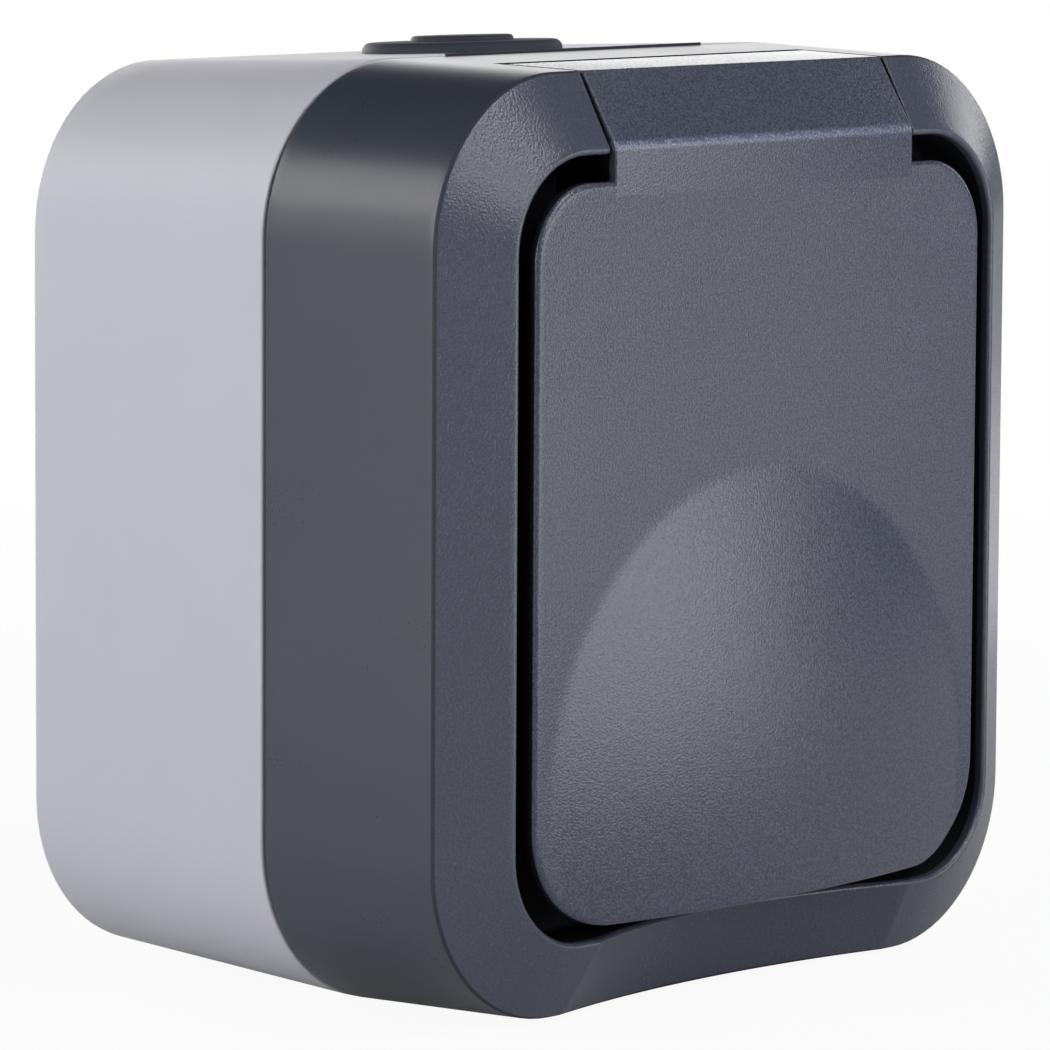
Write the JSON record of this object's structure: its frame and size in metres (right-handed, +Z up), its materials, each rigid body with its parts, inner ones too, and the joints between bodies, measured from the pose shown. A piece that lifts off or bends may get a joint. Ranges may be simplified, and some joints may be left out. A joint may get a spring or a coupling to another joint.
{
  "type": "weatherproof surface-mounted socket",
  "caption": "Surface-mounted splash-proof wall socket: light grey rear box, anthracite bevelled front cover and a sprung top-hinged lid over the plug well.",
  "frame": {"origin": "centre of the rear box's flat back face, on the wall plane", "axes": "+Y into the wall, front looks along -Y, +Z up towards the hinge and the cable entry"},
  "size_m": [0.0748, 0.0538, 0.0793],
  "materials": {
    "grey_shell": "smooth satin moulding",
    "dark_shell": "finely textured satin moulding",
    "dark_rubber": "soft matt rubber",
    "steel": "zinc-plated steel",
    "plated_strip": "nickel-plated strip",
    "contact_brass": "plain brass",
    "pale_insulator": "pale thermoset moulding"
  },
  "bodies": {
    "housing": {"rear_box": "grey_shell", "front_cover": "dark_shell", "socket_well": "dark_shell", "cable_membrane": "dark_rubber", "box_gasket": "dark_rubber", "well_seal": "dark_rubber", "wall_screw_seals": "dark_rubber", "hinge_pin": "steel", "lid_spring": "steel", "cover_screw": "steel", "insert_screws": "steel", "terminal_screws": "steel", "earth_strap": "plated_strip", "contact_carrier": "pale_insulator", "line_contact": "contact_brass", "neutral_contact": "contact_brass", "line_clamp": "contact_brass", "neutral_clamp": "contact_brass", "earth_clamp": "contact_brass"},
    "lid": {"lid": "dark_shell", "lid_seal": "dark_rubber"}
  },
  "joints": [
    {"name": "lid_hinge", "type": "hinge", "parent": "housing", "child": "lid", "pos_m": [0, -0.0442, 0.0355], "axis": [-1, 0, 0], "range_deg": [0, 110], "stiffness_Nm_per_rad": 0.012, "springref_deg": -28.65, "deforming": ["lid_spring"]}
  ]
}
